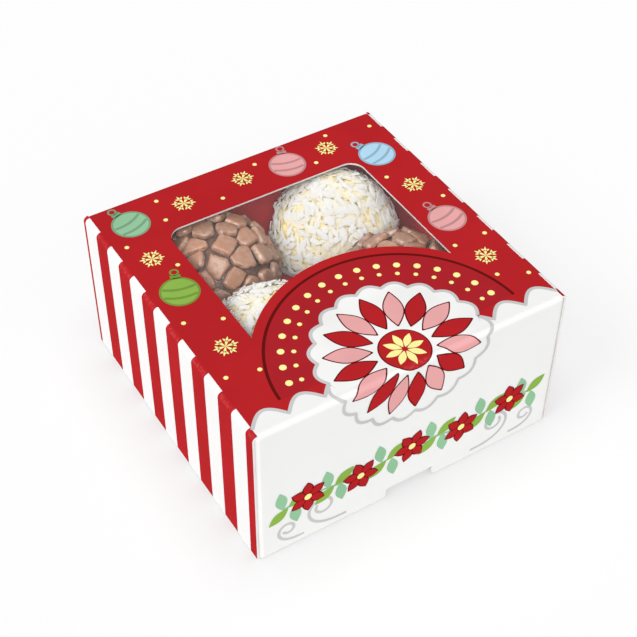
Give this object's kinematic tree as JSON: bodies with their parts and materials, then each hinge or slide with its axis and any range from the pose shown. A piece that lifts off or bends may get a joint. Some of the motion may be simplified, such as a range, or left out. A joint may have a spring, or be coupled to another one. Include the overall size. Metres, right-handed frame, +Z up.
{
  "type": "sweet gift box",
  "caption": "Square gift box for sweets: a folded card lid with a film window and thumb notch lifts off a card tray, where a punched holder card carries coated sweets.",
  "frame": {"origin": "on the ground under the middle of the box", "axes": "+Z up, the way the lid lifts; -Y towards the front wall with the thumb notch; +X to the right"},
  "size_m": [0.08, 0.08, 0.041],
  "materials": {
    "printed_board": "satin",
    "tray_board": "satin",
    "holder_board": "satin",
    "clear_film": "gloss",
    "dark_fudge": "matte",
    "milk_chocolate": "satin",
    "pale_fudge": "matte",
    "white_chocolate": "satin"
  },
  "bodies": {
    "tray": {"tray_carton": "tray_board", "sweet_holder": "holder_board", "sweet_core_back_left": "dark_fudge", "sweet_core_back_right": "pale_fudge", "sweet_core_front_left": "pale_fudge", "sweet_core_front_right": "dark_fudge", "sweet_chips_back_left": "milk_chocolate", "sweet_shavings_back_right": "white_chocolate", "sweet_shavings_front_left": "white_chocolate", "sweet_chips_front_right": "milk_chocolate"},
    "lid": {"lid_carton": "printed_board", "window_film": "clear_film"}
  },
  "joints": [
    {"name": "lid_lift", "type": "slide", "parent": "tray", "child": "lid", "axis": [0, 0, 1], "range_m": [0, 0.06]}
  ]
}
